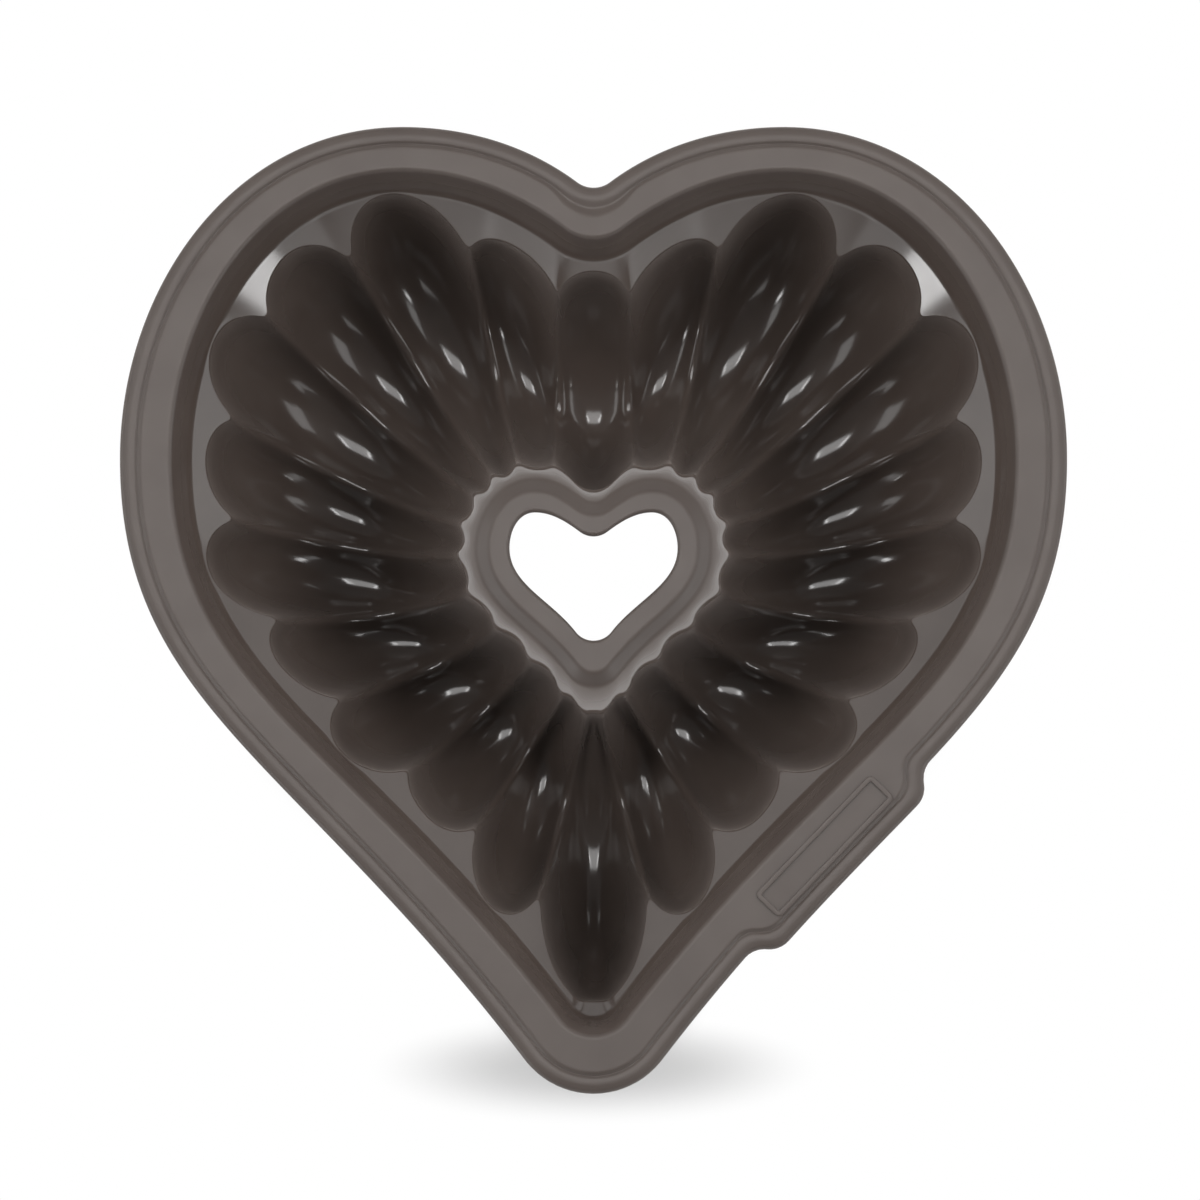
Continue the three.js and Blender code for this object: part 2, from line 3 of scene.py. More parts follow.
import bpy
import numpy as np
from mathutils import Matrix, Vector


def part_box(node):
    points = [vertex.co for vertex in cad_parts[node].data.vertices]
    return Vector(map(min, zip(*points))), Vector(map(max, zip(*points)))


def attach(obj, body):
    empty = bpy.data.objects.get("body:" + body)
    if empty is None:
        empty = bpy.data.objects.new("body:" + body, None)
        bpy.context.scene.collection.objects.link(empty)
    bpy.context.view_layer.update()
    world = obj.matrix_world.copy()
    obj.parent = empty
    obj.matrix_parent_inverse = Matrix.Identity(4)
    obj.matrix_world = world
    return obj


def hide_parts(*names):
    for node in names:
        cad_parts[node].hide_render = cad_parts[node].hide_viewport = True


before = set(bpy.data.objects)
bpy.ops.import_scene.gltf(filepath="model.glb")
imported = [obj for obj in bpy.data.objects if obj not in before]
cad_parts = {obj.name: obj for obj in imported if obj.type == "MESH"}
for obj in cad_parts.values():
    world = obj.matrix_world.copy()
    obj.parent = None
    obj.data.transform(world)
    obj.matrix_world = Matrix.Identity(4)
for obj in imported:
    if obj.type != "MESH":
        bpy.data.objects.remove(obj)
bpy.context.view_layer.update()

# Lengths are millimetres in the shape functions and become metres when a mesh is made.
MM = 0.001

# Outer sizes and levels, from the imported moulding
MOULD_LOW, MOULD_HIGH = (np.array(corner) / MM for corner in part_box("silicone_mould"))
FRAME_RISE = 0.5
FLANGE_Z = MOULD_HIGH[2] - FRAME_RISE
WALL = 2.5

# Rim heart, at the outer edge of the bead
RIM = {
    "half_width": MOULD_HIGH[0],
    "widest_y": MOULD_HIGH[1] - 87.5,
    "lobe_x": 50.5,
    "lobe_y": MOULD_HIGH[1],
    "cleft_y": MOULD_HIGH[1] - 16.2,
    "cleft_radius": 7.2,
    "tip_y": MOULD_LOW[1],
    "tip_radius": 22.7,
    "flank_pull": 1.54,
}
CLEFT_SLOPE = math.radians(37)
FLANK_ANGLE = math.radians(37.5)

# Bead, groove, collar and slope
BEAD_WIDTH = 4.2
BEAD_HEIGHT = 6
BEAD_ROUND = 1.4
BEAD_CHAMFER = 0.9
BEAD_CROWN = 0.2
GROOVE_WIDTH = 1.2
GROOVE_DEPTH = 0.6
GROOVE_BOTTOM_SHARE = 0.4
GROOVE_CLEFT_EXTRA = 2.6
GROOVE_CLEFT_REACH = 9
COLLAR_DEPTH = 10.5
COLLAR_RUN = 3.7
COLLAR_LEAN = COLLAR_RUN / COLLAR_DEPTH
COLLAR_WALL_OUT = WALL * math.hypot(1, COLLAR_LEAN)
SLOPE_ANGLE = math.radians(38)
FOOT_Z = FLANGE_Z - COLLAR_DEPTH

# Flutes from the cleft to the tip: each ridge's share of the half loop at the mouth and at the tube,
# and how far in from the collar's foot each flute's arch and each ridge's cusp lie
MOUTH_RIDGES = [0.0207, 0.108, 0.222, 0.3145, 0.409, 0.495, 0.59, 0.678, 0.761, 0.834, 0.9145]
TUBE_RIDGES = [0.108, 0.2, 0.263, 0.325, 0.402, 0.4765, 0.57, 0.678, 0.791, 0.902, 0.9835]
ARCHES = np.array([3.3, 7.1, 0.8, 4.2, 0.8, 4.5, 1.1, 4.8, 0.8, 4.6, 0.8, 4.5])
CUSPS = np.array([11.1, 12.4, 12.9, 9.7, 10, 10.1, 11.5, 10.1, 9, 11.2, 13.4])
FLUTES_PER_SIDE = len(MOUTH_RIDGES)
TIP_ARCH_SIDE = 1
TIP_ARCH_REACH = 0.7
TIP_FLATNESS = 1.4
RIDGE_AT_TUBE = 1.6
TIP_RIDGE_AT_TUBE = 0.4
ROUND_AT_MOUTH = 0.08
ROUND_AT_TUBE = 0.34
OUTSIDE_RIDGE_SHARE = 0.7
FLUTE_ROUNDNESS = 0.9
TROUGH_FROM_FOOT = 20
TROUGH_SHARE = 0.3
SPOKE_BOW = 0.15
PAD_CUT = 0.5
TROUGH_Z = WALL - PAD_CUT

# Tube in the middle
TUBE_TOP = 37.75
TUBE = {
    "half_width": 35,
    "widest_y": TUBE_TOP - 21.5,
    "lobe_x": 15.5,
    "lobe_y": TUBE_TOP,
    "cleft_y": TUBE_TOP - 6,
    "cleft_radius": 9,
    "tip_y": -27.75,
    "tip_radius": 5,
    "flank_pull": 1.54,
}
RING_COLLAR_RUN = 3.6
RING_DROP = 7.8
LEDGE_DROP = 2.2
RING_Z = FLANGE_Z - RING_DROP
LEDGE_Z = RING_Z - LEDGE_DROP

# Tab with its bare framed panel
TAB_SHARE = 0.7877
TAB_LENGTH = 74.7
TAB_BULGE = 5.6
TAB_CORNER = 11.5
TAB_LEAN = 0.45
PANEL_LENGTH = 44
PANEL_WIDTH = 9
PANEL_INSET = 9.8
PANEL_CORNER = 1
FRAME_WIDTH = 1.4
FRAME_SQUARENESS = 0.3

# Hoop in the bead
HOOP_RADIUS = 1
HOOP_INSET = 2.3
HOOP_DEPTH = 3.3

# How far each edge is rounded, from the bead inwards
CROWN_EDGE_ROUND = 0.5
GROOVE_ROUND = 0.4
LIP_ROUND = 0.6
FLANGE_EDGE_ROUND = 1.0
FOOT_ROUND = 1.5
ARCH_ROUND = 0.4
TUBE_EDGE_ROUND = 0.8
RING_ROUND = 0.8
HOLE_ROUND = 0.9
HOLE_UNDER_ROUND = 0.6
ROUND_LIMIT = 0.44
GUARD_LIMIT = 0.48
GUARD_REACH = 1.4

# Fineness of the surfaces
TINY = 1e-9
CURVE_SAMPLES = 400
HALF_FLUTE_STEPS = 13
TAB_STEPS = 14
TIP_STEPS = 20
TIP_REACH = 0.33
FLUTE_ROWS = 34
OUTSIDE_FLUTE_ROWS = 22
CORNER_ROWS = 4
BEAD_EDGE_ROWS = 7
CROWN_ROWS = 5
HOOP_SIDES = 16
PANEL_STEPS = 96
FRAME_SIDES = 20
CROSSING_STEPS = 40


def even_run(points):
    """A polyline with its points spread evenly by length, and that length."""
    legs = np.linalg.norm(np.diff(points, axis=0), axis=1)
    run = np.concatenate([[0], np.cumsum(legs)])
    places = np.linspace(0, run[-1], CURVE_SAMPLES)
    even = np.column_stack([np.interp(places, run, points[:, k]) for k in range(2)])
    return even, run[-1]


def arc(centre_y, radius, start, end):
    """Circle arc about a point on the mirror line, from one angle to another."""
    angle = np.linspace(start, end, CURVE_SAMPLES)
    return np.column_stack([radius * np.cos(angle), centre_y + radius * np.sin(angle)])


def cubic(start, leave, reach, end, t):
    """Bezier cubic from a start to an end, pulled by a handle at each."""
    near = (1 - t) ** 3 * start + 3 * (1 - t) ** 2 * t * leave
    return near + 3 * (1 - t) * t**2 * reach + t**3 * end


def bend(start, heading, end, arrival, pull_end=1.0):
    """Cubic whose handles are those of a circular arc that turns as much; the last is times a pull."""
    start, heading, end, arrival = map(np.array, (start, heading, end, arrival))
    turn = math.acos(np.clip(heading @ arrival, -1, 1))
    handle = np.linalg.norm(end - start) / (3 * math.cos(turn / 4) ** 2)
    leave = start + heading * handle
    reach = end - arrival * handle * pull_end
    return cubic(start, leave, reach, end, np.linspace(0, 1, CURVE_SAMPLES)[:, None])


def heart(size):
    """Right half of a heart from cleft to tip: cleft arc, rise to the lobe, lobe, flank, tip arc.

    Returns, at even samples of each of the five curves: the station (curve number plus share of it),
    the point, the outward normal and the share of the whole half loop.
    """
    down = -math.pi / 2
    cleft = arc(size["cleft_y"] + size["cleft_radius"], size["cleft_radius"], down, down + CLEFT_SLOPE)
    tip = arc(size["tip_y"] + size["tip_radius"], size["tip_radius"], -FLANK_ANGLE, down)
    lobe = (size["lobe_x"], size["lobe_y"])
    widest = (size["half_width"], size["widest_y"])
    uphill = (math.cos(CLEFT_SLOPE), math.sin(CLEFT_SLOPE))
    inward = (-math.sin(FLANK_ANGLE), -math.cos(FLANK_ANGLE))
    curves = [
        cleft,
        bend(cleft[-1], uphill, lobe, (1.0, 0.0)),
        bend(lobe, (1.0, 0.0), widest, (0.0, -1.0)),
        bend(widest, (0.0, -1.0), tip[0], inward, size["flank_pull"]),
        tip,
    ]
    runs = [even_run(curve) for curve in curves]
    lengths = np.array([length for _, length in runs])
    starts = np.concatenate([[0], np.cumsum(lengths)[:-1]])
    along = np.linspace(0, 1, CURVE_SAMPLES)
    tangents = [np.gradient(points, axis=0, edge_order=2) for points, _ in runs]
    tangent = np.concatenate(tangents)
    tangent /= np.linalg.norm(tangent, axis=1)[:, None]
    return {
        "station": np.concatenate([i + along for i in range(len(runs))]),
        "point": np.concatenate([points for points, _ in runs]),
        "normal": np.column_stack([-tangent[:, 1], tangent[:, 0]]),
        "share": np.concatenate([s + along * n for s, n in zip(starts, lengths)]) / lengths.sum(),
        "length": lengths.sum(),
    }


def drawn_in(size, side, lobe, cleft, tip, cleft_radius, tip_radius, flank_pull):
    """The same heart drawn in by its own amount at the sides, lobes, cleft and tip."""
    return {
        "half_width": size["half_width"] - side,
        "widest_y": size["widest_y"],
        "lobe_x": size["lobe_x"],
        "lobe_y": size["lobe_y"] - lobe,
        "cleft_y": size["cleft_y"] - cleft,
        "cleft_radius": cleft_radius,
        "tip_y": size["tip_y"] + tip,
        "tip_radius": tip_radius,
        "flank_pull": flank_pull,
    }


CAVITY = drawn_in(
    RIM, side=13.6, lobe=11.9, cleft=13.8, tip=15.4, cleft_radius=12, tip_radius=11, flank_pull=1.54
)
RING = drawn_in(
    TUBE, side=7.3, lobe=6.6, cleft=7, tip=10.8, cleft_radius=8, tip_radius=5, flank_pull=1.25
)
HOLE = drawn_in(
    RING, side=5.4, lobe=5.5, cleft=5.5, tip=8.5, cleft_radius=6, tip_radius=6, flank_pull=1.1
)
rim_heart = heart(RIM)
cavity_heart = heart(CAVITY)
tube_heart = heart(TUBE)
ring_heart = heart(RING)
hole_heart = heart(HOLE)


def stations_on(curves, guide, share, side):
    """Points and outward normals on a heart that answer to shares of a guide heart's half loop."""
    station = np.interp(share, guide["share"], guide["station"])

    def read(name):
        """Values at the stations, straight between samples."""
        along = curves["station"]
        return np.column_stack([np.interp(station, along, curves[name][:, k]) for k in range(2)])

    point = read("point")
    normal = read("normal")
    normal /= np.linalg.norm(normal, axis=1)[:, None]
    mirror = np.column_stack([side, np.ones_like(side)])
    return point * mirror, normal * mirror


def ridge_share(ridges, place):
    """Share of the half loop at a place; troughs are at whole numbers, ridges half way between."""
    stops = np.concatenate([[0], ridges, [1]])
    places = np.clip(np.arange(len(stops)) - 0.5, 0, FLUTES_PER_SIDE)
    return np.interp(place, places, stops)


def smooth_step(x):
    """Cubic ease from 0 to 1."""
    x = np.clip(x, 0, 1)
    return x * x * (3 - 2 * x)


def flute_places():
    """Places down one side, closer together near the ridges: half even steps, half a sine of them."""
    step = np.linspace(-1, 1, 2 * HALF_FLUTE_STEPS + 1)[:-1]
    across = (step + np.sin(step * math.pi / 2)) / 2
    places = (np.arange(FLUTES_PER_SIDE + 1)[:, None] + across / 2).ravel()
    inside = places[(places > TINY) & (places < FLUTES_PER_SIDE - TINY)]
    return np.concatenate([[0], inside, [FLUTES_PER_SIDE]])


def tip_places():
    """More places, evenly spread, round the tip, where the rim turns sharply."""
    return FLUTES_PER_SIDE - np.linspace(0, TIP_REACH, TIP_STEPS + 2)[1:-1]


def tab_places():
    """Places close together along the two curved ends of the tab, and a little past them."""
    near = TAB_LENGTH / 2 - TAB_CORNER - BEAD_WIDTH
    far = TAB_LENGTH / 2 + GROOVE_WIDTH
    away = np.linspace(near, far, TAB_STEPS) / rim_heart["length"]
    ends = np.concatenate([TAB_SHARE - away, TAB_SHARE + away])
    table = np.linspace(0, FLUTES_PER_SIDE, CURVE_SAMPLES * FLUTES_PER_SIDE)
    return np.interp(ends, ridge_share(MOUTH_RIDGES, table), table)


def tab_bulge(away):
    """How far the tab pushes the rim out at a distance along the rim from the tab's middle.

    Each end is an S of two equal circle arcs that meet half way out.
    """
    run = TAB_CORNER / 2
    rise = TAB_BULGE / 2
    radius = (run**2 + rise**2) / (2 * rise)
    past = np.clip(TAB_LENGTH / 2 - away, 0, TAB_CORNER)
    near = np.minimum(past, TAB_CORNER - past)
    out = radius - np.sqrt(radius**2 - near**2)
    return np.where(past < run, out, TAB_BULGE - out)


def flute_shape(place, foot):
    """A place's distance from its flute's trough (0) to the ridge (1), and its flute's arch there.

    The tip's flute is measured straight across and is flatter, and its arch nears the collar's foot
    at its sides, by a smooth step.
    """
    flute = np.floor(place + 0.5).astype(int)
    at_tip = flute == FLUTES_PER_SIDE
    last_ridge = place == FLUTES_PER_SIDE - 0.5
    ridge_x = np.abs(foot[last_ridge, 0]).max()
    width = np.abs(foot[:, 0]) / ridge_x
    across = np.where(at_tip, width**TIP_FLATNESS, np.abs(2 * (place - flute)))
    to_side = np.where(at_tip, smooth_step(width / TIP_ARCH_REACH), 0)
    return across, ARCHES[flute] + (TIP_ARCH_SIDE - ARCHES[flute]) * to_side


def make_columns():
    """Upright cuts all round: down the right side from the cleft to the tip, and up the left side."""
    even = np.sort(np.concatenate([flute_places(), tip_places()]))
    right = np.sort(np.concatenate([even, tab_places()]))
    left = even[1:-1][::-1]
    place = np.concatenate([right, left])
    side = np.concatenate([np.ones_like(right), -np.ones_like(left)])
    mouth = ridge_share(MOUTH_RIDGES, place)
    share = ridge_share(TUBE_RIDGES, place)
    rim, rim_out = stations_on(rim_heart, cavity_heart, mouth, side)
    cavity, cavity_out = stations_on(cavity_heart, cavity_heart, mouth, side)
    tube, tube_out = stations_on(tube_heart, tube_heart, share, side)
    ring, ring_out = stations_on(ring_heart, tube_heart, share, side)
    hole, hole_out = stations_on(hole_heart, tube_heart, share, side)
    foot = cavity - cavity_out * COLLAR_RUN
    length = np.linalg.norm(foot - tube, axis=1)
    outward = (foot - tube) / length[:, None]
    near_cleft = np.clip(1 - np.abs(rim[:, 0]) / GROOVE_CLEFT_REACH, 0, 1) * (rim[:, 1] > 0)
    ridge = np.minimum(np.floor(place), FLUTES_PER_SIDE - 1).astype(int)
    ridge_arch = (ARCHES[ridge] + ARCHES[ridge + 1]) / 2
    tab_away = np.where(side > 0, np.abs(mouth - TAB_SHARE) * rim_heart["length"], TAB_LENGTH)
    across, arch = flute_shape(place, foot)
    third = length[:, None] / 3
    return {
        "rim": (rim, rim_out),
        "cavity": (cavity, cavity_out),
        "tube": (tube, tube_out),
        "ring": (ring, ring_out),
        "hole": (hole, hole_out),
        "foot": foot,
        "length": length,
        "square": np.sum(outward * cavity_out, axis=1),
        "leave": foot - (outward * (1 - SPOKE_BOW) + cavity_out * SPOKE_BOW) * third,
        "reach": tube + (outward * (1 - SPOKE_BOW) + tube_out * SPOKE_BOW) * third,
        "across": across,
        "arch": arch,
        "ridge_arch": ridge_arch,
        "ridge_at_mouth": CUSPS[ridge] - ridge_arch,
        "ridge_at_tube": np.where(ridge == FLUTES_PER_SIDE - 1, TIP_RIDGE_AT_TUBE, RIDGE_AT_TUBE),
        "tab_away": tab_away,
        "groove": GROOVE_WIDTH + GROOVE_CLEFT_EXTRA * near_cleft,
    }


def slope_z(inset, thickness):
    """Height of the slope at a distance square in from the collar's foot, drawn back by a thickness."""
    return FOOT_Z - math.tan(SLOPE_ANGLE) * inset - thickness / math.cos(SLOPE_ANGLE)


def valley(arch, columns, step):
    """U of two quarter ellipses from the mouth (0) through the trough (1) to the tube (2).

    Distance in along the spoke, height, and the normal that points into the cavity.
    """
    mouth = step <= 1
    arch = arch[:, None]
    length = columns["length"][:, None]
    square = columns["square"][:, None]
    trough = TROUGH_FROM_FOOT + TROUGH_SHARE * length
    angle = np.where(mouth, step, 2 - step) * (math.pi / 2)
    wide = np.where(mouth, trough - arch, length - trough)
    top = np.where(mouth, slope_z(arch * square, 0), LEDGE_Z)
    high = top - TROUGH_Z
    hand = np.where(mouth, -1.0, 1.0)
    normal_in = -hand * high * np.cos(angle)
    normal_up = wide * np.sin(angle)
    size = np.hypot(normal_in, normal_up)
    inset = trough + hand * wide * np.cos(angle)
    height = top - high * np.sin(angle)
    return inset, height, normal_in / size, normal_up / size


def flute_arc(across, crest):
    """Rise of a round-bottomed flute from trough (0) to ridge (1).

    A circle's arc, and over the crest's share next to the ridge a parabola that levels out on the ridge.
    """
    edge = 1 - crest
    inner = np.minimum(across, edge)
    past = np.maximum(across - edge, 0)

    def circle(x):
        """Rise of the circle's arc at a distance from its lowest point."""
        return 1 - np.sqrt(1 - (FLUTE_ROUNDNESS * x) ** 2)

    steep = FLUTE_ROUNDNESS**2 * edge / np.sqrt(1 - (FLUTE_ROUNDNESS * edge) ** 2)
    rise = circle(inner) + steep * (past - past**2 / (2 * crest))
    return rise / (circle(edge) + steep * crest / 2)


def flute_skin(columns, step, thickness):
    """A flute's skin: its floor drawn towards the shared ridge by the flute's arc, less a thickness."""
    own_in, own_z, own_nin, own_nz = valley(columns["arch"], columns, step)
    mean_in, mean_z, mean_nin, mean_nz = valley(columns["ridge_arch"], columns, step)
    at_mouth = columns["ridge_at_mouth"][:, None]
    rise = at_mouth + (columns["ridge_at_tube"][:, None] - at_mouth) * step / 2
    rise = rise * (OUTSIDE_RIDGE_SHARE if thickness > 0 else 1) - thickness
    crest = ROUND_AT_MOUTH + (ROUND_AT_TUBE - ROUND_AT_MOUTH) * step / 2
    share = flute_arc(columns["across"][:, None], crest)
    inset = (own_in - own_nin * thickness) * (1 - share) + (mean_in + mean_nin * rise) * share
    height = (own_z - own_nz * thickness) * (1 - share) + (mean_z + mean_nz * rise) * share
    return inset, height


def crossing(low, high, count, measure):
    """Per column, the step between two others at which a falling measure passes zero, by halving."""
    a = np.full((count, 1), float(low))
    b = np.full((count, 1), float(high))
    for _ in range(CROSSING_STEPS):
        middle = (a + b) / 2
        above = measure(middle) > 0
        a = np.where(above, middle, a)
        b = np.where(above, b, middle)
    return (a + b) / 2


def along_spoke(columns, inset, height):
    """Points of the flute zone: in from the collar's foot along a cubic, and straight on past its ends."""
    share = inset / columns["length"][:, None]
    t = np.clip(share, 0, 1)[..., None]
    foot, leave, reach = (columns[name][:, None, :] for name in ("foot", "leave", "reach"))
    tube, tube_out = (part[:, None, :] for part in columns["tube"])
    cavity_out = columns["cavity"][1][:, None, :]
    flat = cubic(foot, leave, reach, tube, t)
    before = np.minimum(share, 0)[..., None] * columns["length"][:, None, None]
    after = np.maximum(share - 1, 0)[..., None] * columns["length"][:, None, None]
    flat = flat - cavity_out * before - tube_out * after
    return np.concatenate([flat, np.maximum(height, 0)[..., None]], axis=2)


def beside(columns, name, out, z):
    """One row of points at a distance out from a heart's stations, at a height."""
    point, normal = columns[name]
    out = np.broadcast_to(np.asarray(out, dtype=float), len(point))
    flat = point + normal * out[:, None]
    return np.column_stack([flat, np.full(len(flat), float(z))])


def beside_rim(columns, out, z):
    """One row of points out from the rim by a distance plus the tab's bulge, shorter further in."""
    return beside(columns, "rim", out + tab_bulge(columns["tab_away"] - out * TAB_LEAN), z)


def soften(before, corner, after, radius):
    """Rows that round a corner: a quadratic curve between points a radius back and on from it.

    A guard row just outside each end keeps the faces beyond it flat.
    """
    to_before = before - corner
    to_after = after - corner
    far_before = np.linalg.norm(to_before, axis=1)[:, None]
    far_after = np.linalg.norm(to_after, axis=1)[:, None]
    start = corner + to_before * np.minimum(radius / far_before, ROUND_LIMIT)
    end = corner + to_after * np.minimum(radius / far_after, ROUND_LIMIT)
    guard_before = corner + to_before * np.minimum(GUARD_REACH * radius / far_before, GUARD_LIMIT)
    guard_after = corner + to_after * np.minimum(GUARD_REACH * radius / far_after, GUARD_LIMIT)
    steps = np.linspace(0, 1, CORNER_ROWS)
    curve = [(1 - t) ** 2 * start + 2 * t * (1 - t) * corner + t * t * end for t in steps]
    return [guard_before, *curve, guard_after]


def flute_rows(columns, thickness, count):
    """Rows of the flute skin from its arch on the slope to the tube's edge."""

    def over_slope(step):
        """Height of the flute's skin less the slope's height there."""
        inset, height = flute_skin(columns, step, thickness)
        return height - slope_z(inset * columns["square"][:, None], thickness)

    def under_ledge(step):
        """Height of the ledge's underside less the flute's skin."""
        return LEDGE_Z - thickness - flute_skin(columns, step, thickness)[1]

    number = len(columns["length"])
    start = crossing(0, 1, number, over_slope)
    end = crossing(1, 2, number, under_ledge) if thickness > 0 else np.full((number, 1), 2.0)
    steps = start + (end - start) * np.linspace(0, 1, count)
    points = along_spoke(columns, *flute_skin(columns, steps, thickness))
    return [points[:, j] for j in range(count)]


def bead_rows(columns):
    """Bead and groove: up the bead's side, round its edge, over its low crown and through the groove.

    The edge is a quarter circle, and the crown a parabola that is highest in its middle.
    """
    side = beside_rim(columns, 0, FLANGE_Z - BEAD_HEIGHT + BEAD_CHAMFER)
    shoulder = FLANGE_Z - BEAD_CROWN - BEAD_ROUND
    turn = np.linspace(0, math.pi / 2, BEAD_EDGE_ROWS)
    edge = [
        beside_rim(columns, BEAD_ROUND * (math.cos(a) - 1), shoulder + BEAD_ROUND * math.sin(a))
        for a in turn
    ]
    width = BEAD_WIDTH - BEAD_ROUND
    crown = [
        beside_rim(columns, -BEAD_ROUND - width * t, FLANGE_Z - BEAD_CROWN * (2 * t - 1) ** 2)
        for t in np.linspace(0, 1, CROWN_ROWS + 1)[1:]
    ]
    bottom = -BEAD_WIDTH - GROOVE_BOTTOM_SHARE * columns["groove"]
    groove = beside_rim(columns, bottom, FLANGE_Z - GROOVE_DEPTH)
    lip = beside_rim(columns, -BEAD_WIDTH - columns["groove"], FLANGE_Z)
    flange = beside(columns, "cavity", 0, FLANGE_Z)
    return [
        side,
        *edge,
        *crown[:-1],
        *soften(crown[-2], crown[-1], groove, CROWN_EDGE_ROUND),
        *soften(crown[-1], groove, lip, GROOVE_ROUND),
        *soften(groove, lip, flange, LIP_ROUND),
    ]


def under_foot():
    """Where the collar's and the slope's undersides meet: distance out from the foot, and height."""
    drop = WALL / math.cos(SLOPE_ANGLE)
    out = (COLLAR_WALL_OUT - COLLAR_LEAN * drop) / (1 - COLLAR_LEAN * math.tan(SLOPE_ANGLE))
    return out, slope_z(-out, WALL)


def mould_rows(columns):
    """Rows of the closed section, over the top from the bead to the hole and back below.

    With each row comes its polish: 1 from the collar's foot to the tube's edge, and 0 elsewhere.
    """
    lip = beside_rim(columns, -BEAD_WIDTH - columns["groove"], FLANGE_Z)
    edge = beside(columns, "cavity", 0, FLANGE_Z)
    foot = beside(columns, "cavity", -COLLAR_RUN, FOOT_Z)
    flutes = flute_rows(columns, 0, FLUTE_ROWS)
    ledge = beside(columns, "ring", RING_COLLAR_RUN, LEDGE_Z)
    ring = beside(columns, "ring", 0, RING_Z)
    hole = beside(columns, "hole", 0, RING_Z)
    hole_under = beside(columns, "hole", 0, RING_Z - WALL)
    thin = WALL / 2
    ring_under = beside(columns, "ring", -thin, RING_Z - WALL)
    ledge_under = beside(columns, "ring", RING_COLLAR_RUN - thin, LEDGE_Z - WALL)
    outside = flute_rows(columns, WALL, OUTSIDE_FLUTE_ROWS)[::-1]
    foot_out, foot_z = under_foot()
    collar_foot = beside(columns, "cavity", foot_out - COLLAR_RUN, foot_z)
    collar_top = beside(columns, "cavity", COLLAR_WALL_OUT - COLLAR_LEAN * WALL, FLANGE_Z - WALL)
    bead_root = beside_rim(columns, -BEAD_WIDTH - columns["groove"], FLANGE_Z - WALL)
    bead_inner = beside_rim(columns, -BEAD_WIDTH, FLANGE_Z - BEAD_HEIGHT + BEAD_CHAMFER)
    bead_low = beside_rim(columns, -BEAD_WIDTH + BEAD_CHAMFER, FLANGE_Z - BEAD_HEIGHT)
    bead_out = beside_rim(columns, -BEAD_CHAMFER, FLANGE_Z - BEAD_HEIGHT)
    matte = [
        *bead_rows(columns),
        *soften(lip, edge, foot, FLANGE_EDGE_ROUND),
    ]
    polished = [
        *soften(edge, foot, flutes[0], FOOT_ROUND),
        *soften(foot, flutes[0], flutes[1], ARCH_ROUND),
        *flutes[1:-1],
        *soften(flutes[-2], flutes[-1], ledge, TUBE_EDGE_ROUND),
    ]
    ring_and_under = [
        *soften(flutes[-1], ledge, ring, RING_ROUND),
        *soften(ledge, ring, hole, RING_ROUND),
        *soften(ring, hole, hole_under, HOLE_ROUND),
        *soften(hole, hole_under, ring_under, HOLE_UNDER_ROUND),
        ring_under,
        ledge_under,
        *outside,
        collar_foot,
        collar_top,
        bead_root,
        bead_inner,
        bead_low,
        bead_out,
    ]
    rows = matte + polished + ring_and_under
    polish = np.zeros(len(rows))
    polish[len(matte) : len(matte) + len(polished)] = 1
    return rows, polish


def loop_mesh(name, rows):
    """A closed skin from rows of points: each row runs round the loop, the rows run round the section."""
    grid = np.stack(rows, axis=1)
    around, section = grid.shape[:2]
    i = np.arange(around)[:, None]
    j = np.arange(section)[None, :]
    next_i = (i + 1) % around
    next_j = (j + 1) % section
    here = i * section
    beyond = next_i * section
    corners = [here + j, here + next_j, beyond + next_j, beyond + j]
    quads = np.stack(corners, axis=2).reshape(-1, 4)
    mesh = bpy.data.meshes.new(name)
    mesh.from_pydata(grid.reshape(-1, 3) * MM, [], quads)
    mesh.polygons.foreach_set("use_smooth", np.ones(len(quads), dtype=bool))
    mesh.update()
    return mesh


def add_piece(name, mesh, material):
    """A piece of the object at the origin, in its finish, that moves with the root body."""
    piece = bpy.data.objects.new(name, mesh)
    bpy.context.scene.collection.objects.link(piece)
    mesh.materials.append(material)
    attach(piece, "root")
    return piece


def silicone_moulding(columns, material):
    """The whole silicone moulding, with an attribute that is 1 where the tool was polished."""
    rows, polish = mould_rows(columns)
    mesh = loop_mesh("silicone_moulding", rows)
    around = len(columns["length"])
    layer = mesh.attributes.new("polish", "FLOAT", "POINT")
    layer.data.foreach_set("value", np.tile(polish, around))
    piece = add_piece("silicone_moulding", mesh, material)
    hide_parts("silicone_mould")


def steel_hoop(columns, material):
    """A circle carried along the bead as a round wire."""
    angles = np.linspace(0, 2 * math.pi, HOOP_SIDES, endpoint=False)
    middle_z = FLANGE_Z - HOOP_DEPTH
    rows = [
        beside_rim(columns, HOOP_RADIUS * math.cos(a) - HOOP_INSET, middle_z + HOOP_RADIUS * math.sin(a))
        for a in angles
    ]
    piece = add_piece("steel_hoop", loop_mesh("steel_hoop", rows), material)
    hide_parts("rim_hoop")


